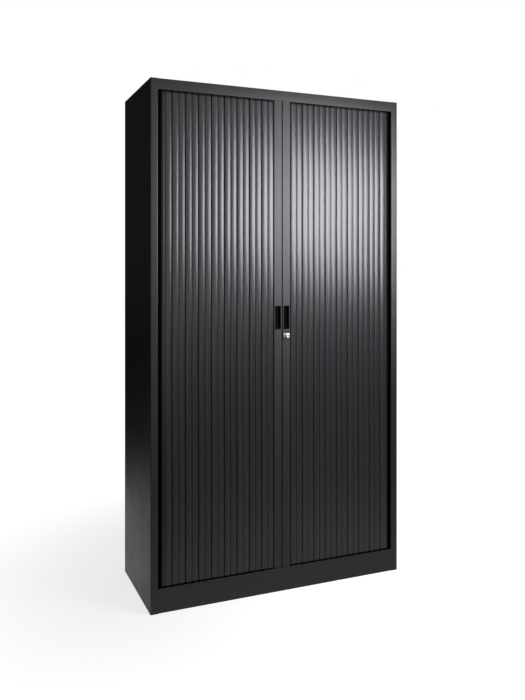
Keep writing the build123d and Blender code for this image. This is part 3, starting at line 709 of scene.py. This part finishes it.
def curtain_tree():
    """Node tree that hangs slats on the hinge points, folds each one and makes it solid."""
    tree = bpy.data.node_groups.new("Slats on their track", "GeometryNodeTree")
    identifiers = {}
    for label, kind in (
        ("Geometry", "NodeSocketGeometry"),
        ("Whole slat", "NodeSocketObject"),
        ("Bead half", "NodeSocketObject"),
        ("Socket half", "NodeSocketObject"),
        ("Height", "NodeSocketFloat"),
        ("Rib", "NodeSocketFloat"),
        ("Side", "NodeSocketFloat"),
        ("Tone seed", "NodeSocketInt"),
        ("Finish", "NodeSocketMaterial"),
    ):
        socket = tree.interface.new_socket(label, in_out="INPUT", socket_type=kind)
        identifiers[label] = socket.identifier
    tree.interface.new_socket("Geometry", in_out="OUTPUT", socket_type="NodeSocketGeometry")
    start = add_node(tree, "NodeGroupInput")
    end = add_node(tree, "NodeGroupOutput")
    link = tree.links.new

    def named(label):
        kind = "GeometryNodeInputNamedAttribute"
        return add_node(tree, kind, {"Name": label}, data_type="FLOAT").outputs["Attribute"]

    def maths(operation, one, other=None):
        node = add_node(tree, "ShaderNodeMath", operation=operation)
        for value, socket in zip((one, other), node.inputs):
            if isinstance(value, (int, float)):
                socket.default_value = value
            elif value is not None:
                link(value, socket)
        return node.outputs["Value"]

    def turned(x, y, angle):
        cosine, sine = maths("COSINE", angle), maths("SINE", angle)
        return (
            maths("SUBTRACT", maths("MULTIPLY", x, cosine), maths("MULTIPLY", y, sine)),
            maths("ADD", maths("MULTIPLY", x, sine), maths("MULTIPLY", y, cosine)),
        )

    # each slat gets a tone of its own
    tone = add_node(tree, "FunctionNodeRandomValue", data_type="FLOAT")
    link(start.outputs["Tone seed"], tone.inputs["Seed"])
    toned = add_node(
        tree,
        "GeometryNodeStoreNamedAttribute",
        {"Name": "slat_tone"},
        data_type="FLOAT",
        domain="POINT",
    )
    link(start.outputs["Geometry"], toned.inputs["Geometry"])
    link(tone.outputs[1], toned.inputs["Value"])

    # hang the kinds of slat on their points
    joined = add_node(tree, "GeometryNodeJoinGeometry")
    kinds = (WHOLE, "Whole slat"), (BEAD_HALF, "Bead half"), (SOCKET_HALF, "Socket half")
    for kind, label in kinds:
        section = add_node(tree, "GeometryNodeObjectInfo", transform_space="ORIGINAL")
        link(start.outputs[label], section.inputs["Object"])
        chosen = add_node(tree, "FunctionNodeCompare", data_type="FLOAT", operation="EQUAL")
        link(named("kind"), chosen.inputs[0])
        chosen.inputs[1].default_value = kind
        hung = add_node(tree, "GeometryNodeInstanceOnPoints")
        link(toned.outputs["Geometry"], hung.inputs["Points"])
        link(chosen.outputs["Result"], hung.inputs["Selection"])
        link(section.outputs["Geometry"], hung.inputs["Instance"])
        link(hung.outputs["Instances"], joined.inputs["Geometry"])
    flat = add_node(tree, "GeometryNodeRealizeInstances")
    link(joined.outputs["Geometry"], flat.inputs["Geometry"])

    # turn each slat to its heading, and its second rib by the fold
    position = add_node(tree, "GeometryNodeInputPosition")
    parts = add_node(tree, "ShaderNodeSeparateXYZ")
    link(position.outputs["Position"], parts.inputs["Vector"])
    along = maths("SUBTRACT", parts.outputs["X"], named("hinge_x"))
    out = maths("SUBTRACT", parts.outputs["Y"], named("hinge_y"))
    past = maths("SUBTRACT", along, start.outputs["Rib"])
    second = maths("GREATER_THAN", past, 0.0)
    folded_x, folded_y = turned(past, out, maths("MULTIPLY", named("fold"), second))
    along = maths("ADD", folded_x, start.outputs["Rib"])
    turned_x, turned_y = turned(along, folded_y, named("heading"))
    aside = maths("ADD", turned_x, named("hinge_x"))
    place = add_node(tree, "ShaderNodeCombineXYZ")
    link(maths("MULTIPLY", aside, start.outputs["Side"]), place.inputs["X"])
    link(maths("ADD", turned_y, named("hinge_y")), place.inputs["Y"])
    link(parts.outputs["Z"], place.inputs["Z"])
    bent = add_node(tree, "GeometryNodeSetPosition")
    link(flat.outputs["Geometry"], bent.inputs["Geometry"])
    link(place.outputs["Vector"], bent.inputs["Position"])

    # raise the sections to solid slats and close their feet
    up = add_node(tree, "ShaderNodeCombineXYZ", {"Z": 1.0})
    raised = add_node(tree, "GeometryNodeExtrudeMesh", {"Individual": False})
    link(bent.outputs["Geometry"], raised.inputs["Mesh"])
    link(up.outputs["Vector"], raised.inputs["Offset"])
    link(start.outputs["Height"], raised.inputs["Offset Scale"])
    closed = add_node(tree, "GeometryNodeJoinGeometry")
    link(raised.outputs["Mesh"], closed.inputs["Geometry"])
    link(bent.outputs["Geometry"], closed.inputs["Geometry"])
    welded = add_node(tree, "GeometryNodeMergeByDistance", {"Distance": MERGE})
    link(closed.outputs["Geometry"], welded.inputs["Geometry"])
    plain = add_node(tree, "GeometryNodeRealizeInstances")
    link(welded.outputs["Geometry"], plain.inputs["Geometry"])
    coated = add_node(tree, "GeometryNodeSetMaterial")
    link(plain.outputs["Geometry"], coated.inputs["Geometry"])
    link(start.outputs["Finish"], coated.inputs["Material"])
    link(coated.outputs["Geometry"], end.inputs["Geometry"])
    return tree, identifiers


def grow_mesh(carrier, tree, values, identifiers):
    """Run a node tree on a carrier object and keep the result as its plain mesh."""
    modifier = carrier.modifiers.new("Slats", "NODES")
    modifier.node_group = tree
    for label, value in values.items():
        modifier[identifiers[label]] = value
    bpy.context.view_layer.update()
    depsgraph = bpy.context.evaluated_depsgraph_get()
    mesh = bpy.data.meshes.new_from_object(carrier.evaluated_get(depsgraph))
    carrier.modifiers.remove(modifier)
    carrier.data = mesh
    work = bmesh.new()
    work.from_mesh(mesh)
    bmesh.ops.remove_doubles(work, verts=work.verts, dist=MERGE)
    bmesh.ops.recalc_face_normals(work, faces=work.faces)
    work.to_mesh(mesh)
    work.free()


class CUPBOARD_OT_curtains(bpy.types.Operator):
    """Hang the slats of both curtains on their tracks"""

    bl_idname = "cupboard.curtains"
    bl_label = "Curtains"

    def execute(self, context):
        settings = context.scene.cupboard_curtain
        finish = slat_plastic("slat_plastic", context.scene.cupboard_finish.slat)
        sections = {
            "Whole slat": slat_section(settings, "whole_slat_section"),
            "Bead half": slat_section(settings, "bead_half_section", last=False),
            "Socket half": slat_section(settings, "socket_half_section", first=False),
        }
        tree, identifiers = curtain_tree()
        places = slat_places(settings, RUN_SLATS + 2)
        for side, way in SIDES.items():
            run = hanging_points(
                f"{side}_run", places[: RUN_SLATS + 1], [WHOLE] * RUN_SLATS + [BEAD_HALF]
            )
            turn = hanging_points(f"{side}_turn", places[RUN_SLATS:], [SOCKET_HALF, WHOLE])
            # each of the four meshes draws its tones from a seed of its own
            for mesh, label in ((run, "curtain"), (turn, "curtain_turn")):
                piece = bpy.data.objects.new(f"{side}_{label}", mesh)
                context.scene.collection.objects.link(piece)
                values = {
                    **sections,
                    "Height": SLAT_HEAD - SLAT_FOOT,
                    "Rib": settings.rib,
                    "Side": float(way),
                    "Tone seed": settings.tone_seed + (way > 0) + 2 * (mesh == turn),
                    "Finish": finish,
                }
                grow_mesh(piece, tree, values, identifiers)
                smooth_by_angle(piece.data, SLAT_CREASE)
            moving = bpy.data.objects[f"{side}_curtain"]
            slats = [f"{side}_slat_{number:02d}" for number in range(1, RUN_SLATS + 2)]
            settle(moving, f"{side}_door", "slat_plastic", *slats)
            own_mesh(moving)
            still = bpy.data.objects[f"{side}_curtain_turn"]
            settle(still, "carcass", "slat_plastic", f"{side}_slat_{RUN_SLATS + 2:02d}")
        for section in sections.values():
            bpy.data.objects.remove(section)
        return {"FINISHED"}


# ---------------------------------------------------------------- casing
class CUPBOARD_OT_casing(bpy.types.Operator):
    """Coat the outer and inner casing"""

    bl_idname = "cupboard.casing"
    bl_label = "Casing"

    def execute(self, context):
        colour = context.scene.cupboard_finish.casing
        coat = powder_coat("casing_coat", colour)
        for name in ("left_side_panel", "right_side_panel", "top_panel", "plinth_rail"):
            smooth_twin(name, coat)
        inside = powder_coat("inner_coat", colour)
        for name in ("left_cheek", "right_cheek"):
            smooth_twin(name, inside)
        dress(["back_panel"], coat)
        dress(["base_panel", "track_carrier", "floor_panel", "ceiling_panel"], inside)
        dress(["inner_back_panel", "shelf_1", "shelf_2", "shelf_3", "shelf_4"], inside)
        return {"FINISHED"}


class CUPBOARD_OT_tracks(bpy.types.Operator):
    """Finish the guide tracks"""

    bl_idname = "cupboard.tracks"
    bl_label = "Tracks"

    def execute(self, context):
        colour = context.scene.cupboard_finish.track
        plastic = moulded_plastic("track_plastic", colour, roughness=(0.38, 0.48))
        for side in SIDES:
            for level in ("lower", "upper"):
                smooth_twin(f"{level}_{side}_track", plastic)
        return {"FINISHED"}


# ---------------------------------------------------------------- posts, cups, shoes
class CUPBOARD_OT_posts(bpy.types.Operator):
    """Finish the lead posts with their cups and shoes"""

    bl_idname = "cupboard.posts"
    bl_label = "Lead posts"

    def execute(self, context):
        finish = context.scene.cupboard_finish
        coating = post_coating("post_coating", finish.post)
        # The cup plastic is matt black, and its very low gloss is also painted shade: it keeps the
        # finger recesses black.
        plastic = moulded_plastic(
            "cup_plastic", finish.moulding, roughness=(0.6, 0.7), sheen=0.04
        )
        for side in SIDES:
            smooth_twin(f"{side}_lead_post", coating)
            smooth_twin(f"{side}_handle_cup", plastic, bevel=0.25 * MM)
            dress([f"{side}_post_shoes"], plastic)
        return {"FINISHED"}


# ---------------------------------------------------------------- lock
class CUPBOARD_OT_lock(bpy.types.Operator):
    """Finish the lock, its hook and its key"""

    bl_idname = "cupboard.lock"
    bl_label = "Lock and key"

    def execute(self, context):
        finish = context.scene.cupboard_finish
        plate = nickel_plate("lock_nickel", finish.nickel)
        zinc = zinc_plate("lock_zinc", finish.zinc)
        for name in ("lock_barrel", "lock_plug", "key", "key_bow"):
            smooth_twin(name, plate, bevel=0.3 * MM)
        for name in ("hook_bolt", "hook_screw", "lock_nut"):
            smooth_twin(name, zinc, bevel=0.2 * MM)
        return {"FINISHED"}


# ---------------------------------------------------------------- clips, sleeves, feet
class CUPBOARD_OT_fittings(bpy.types.Operator):
    """Finish the shelf clips, foot sleeves and levelling feet"""

    bl_idname = "cupboard.fittings"
    bl_label = "Fittings"

    def execute(self, context):
        finish = context.scene.cupboard_finish
        dress(["shelf_clips", "foot_sleeves"], zinc_plate("fitting_zinc", finish.zinc))
        plastic = moulded_plastic("foot_plastic", finish.moulding)
        for place in ("front_left", "front_right", "rear_left", "rear_right"):
            smooth_twin(f"levelling_foot_{place}", plastic)
        return {"FINISHED"}


# ---------------------------------------------------------------- stage
def level_round(tree, centre, near, far):
    """A level that changes with the distance from a centre: (distance, level) near and far."""
    place = add_node(tree, "ShaderNodeTexCoord")
    away = add_node(tree, "ShaderNodeVectorMath", {1: centre}, operation="DISTANCE")
    tree.links.new(place.outputs["Object"], away.inputs[0])
    return ramp(tree, away.outputs["Value"], near[0], far[0], near[1], far[1])


def floor_finish(colour, sheen):
    """Pale floor paper that glows white to the eye, with a painted pool of light and a painted
    glow in the casing's gloss.
    """
    material = bpy.data.materials.new("floor_paper")
    material.use_nodes = True
    tree = material.node_tree
    tree.nodes.clear()
    output = add_node(tree, "ShaderNodeOutputMaterial")
    paper = add_node(tree, "ShaderNodeBsdfDiffuse")
    # painted light: the paper is brightest in a round pool and dims to 0.12 of its colour beyond
    lit = level_round(tree, *PAINTED_LIGHT_POOL)
    dimmed = tinted(tree, lit, rgba(colour, 0.12), rgba(colour))
    tree.links.new(dimmed, paper.inputs["Color"])
    glow = add_node(tree, "ShaderNodeEmission", {"Color": (1, 1, 1, 1)})
    seen = level_round(tree, *WHITE_PATCH)
    # painted reflection: beside the cupboard the paper glows for gloss rays only, so the casing
    # mirrors a bright floor
    painted_gloss_glow = level_round(tree, PAINTED_SHEEN_CENTRE, (PAINTED_SHEEN_WITHIN, sheen), (PAINTED_SHEEN_BEYOND, 0.0))
    path = add_node(tree, "ShaderNodeLightPath")
    strength = add_node(tree, "ShaderNodeMath", operation="ADD")
    levels = ("Is Camera Ray", seen), ("Is Glossy Ray", painted_gloss_glow)
    for (ray, level), socket in zip(levels, strength.inputs):
        tree.links.new(product(tree, path.outputs[ray], level), socket)
    tree.links.new(strength.outputs["Value"], glow.inputs["Strength"])
    both = add_node(tree, "ShaderNodeAddShader")
    tree.links.new(paper.outputs["BSDF"], both.inputs[0])
    tree.links.new(glow.outputs["Emission"], both.inputs[1])
    tree.links.new(both.outputs["Shader"], output.inputs["Surface"])
    return material


def studio_world(ambient):
    """Even room light, with a white backdrop where one looks straight at it."""
    world = bpy.data.worlds.new("studio")
    world.use_nodes = True
    tree = world.node_tree
    tree.nodes.clear()
    output = add_node(tree, "ShaderNodeOutputWorld")
    room = add_node(tree, "ShaderNodeBackground", {"Color": (1, 1, 1, 1), "Strength": ambient})
    backdrop = add_node(tree, "ShaderNodeBackground", {"Color": (1, 1, 1, 1), "Strength": 1.0})
    mix = add_node(tree, "ShaderNodeMixShader")
    path = add_node(tree, "ShaderNodeLightPath")
    tree.links.new(path.outputs["Is Camera Ray"], mix.inputs["Fac"])
    tree.links.new(room.outputs["Background"], mix.inputs[1])
    tree.links.new(backdrop.outputs["Background"], mix.inputs[2])
    tree.links.new(mix.outputs["Shader"], output.inputs["Surface"])
    bpy.context.scene.world = world


def add_lamp(name, power, place, aim, size, colour):
    """A rectangular soft light at a place, aimed at a point and not seen itself."""
    light = bpy.data.lights.new(name, "AREA")
    light.shape = "RECTANGLE"
    light.size, light.size_y = size
    light.energy = power
    light.color = colour
    lamp = bpy.data.objects.new(name, light)
    lamp.location = place
    lamp.rotation_euler = (Vector(aim) - Vector(place)).to_track_quat("-Z", "Z").to_euler()
    lamp.visible_camera = False
    bpy.context.scene.collection.objects.link(lamp)


class CUPBOARD_OT_stage(bpy.types.Operator):
    """Set up the floor, the lights and the camera"""

    bl_idname = "cupboard.stage"
    bl_label = "Stage"

    def execute(self, context):
        settings = context.scene.cupboard_stage
        half = settings.floor_size / 2
        mesh = bpy.data.meshes.new("floor")
        corners = [(-half, -half, 0), (half, -half, 0), (half, half, 0), (-half, half, 0)]
        mesh.from_pydata(corners, [], [(0, 1, 2, 3)])
        mesh.materials.append(floor_finish(settings.floor, settings.sheen))
        floor = bpy.data.objects.new("floor", mesh)
        context.scene.collection.objects.link(floor)
        studio_world(settings.ambient)
        for name, setting, place, aim, size, colour in LAMPS:
            add_lamp(name, getattr(settings, setting), place, aim, size, colour)
        camera = bpy.data.cameras.new("camera")
        camera.lens = settings.lens
        camera.shift_y = CAMERA_SHIFT
        eye = bpy.data.objects.new("camera", camera)
        eye.location = CAMERA_PLACE
        eye.rotation_euler = (pi / 2, 0, settings.camera_turn)
        context.scene.collection.objects.link(eye)
        context.scene.camera = eye
        context.scene.view_settings.view_transform = "Standard"
        return {"FINISHED"}


STEPS = (
    CUPBOARD_OT_casing,
    CUPBOARD_OT_tracks,
    CUPBOARD_OT_curtains,
    CUPBOARD_OT_posts,
    CUPBOARD_OT_lock,
    CUPBOARD_OT_fittings,
    CUPBOARD_OT_stage,
)


class CUPBOARD_PT_panel(bpy.types.Panel):
    """The cupboard's pieces, in the order they are made"""

    bl_label = "Tambour cupboard"
    bl_idname = "CUPBOARD_PT_panel"
    bl_space_type = "VIEW_3D"
    bl_region_type = "UI"
    bl_category = "Cupboard"

    def draw(self, context):
        column = self.layout.column()
        for group in ("cupboard_curtain", "cupboard_finish", "cupboard_stage"):
            settings = getattr(context.scene, group)
            for key in settings.__annotations__:
                column.prop(settings, key)
        for step in STEPS:
            column.operator(step.bl_idname)


GROUPS = {
    "cupboard_curtain": CurtainSettings,
    "cupboard_finish": FinishSettings,
    "cupboard_stage": StageSettings,
}


def register():
    """Add the settings, the operators and the panel."""
    for group in GROUPS.values():
        bpy.utils.register_class(group)
    for kind in (*STEPS, CUPBOARD_PT_panel):
        bpy.utils.register_class(kind)
    for name, group in GROUPS.items():
        setattr(bpy.types.Scene, name, PointerProperty(type=group))


def unregister():
    """Take the settings, the operators and the panel away again."""
    for name in GROUPS:
        delattr(bpy.types.Scene, name)
    for kind in (CUPBOARD_PT_panel, *reversed(STEPS)):
        bpy.utils.unregister_class(kind)
    for group in GROUPS.values():
        bpy.utils.unregister_class(group)


def main():
    """Make every piece and the stage."""
    register()
    for step in STEPS:
        area, action = step.bl_idname.split(".")
        getattr(getattr(bpy.ops, area), action)()


if __name__ == "__main__":
    main()
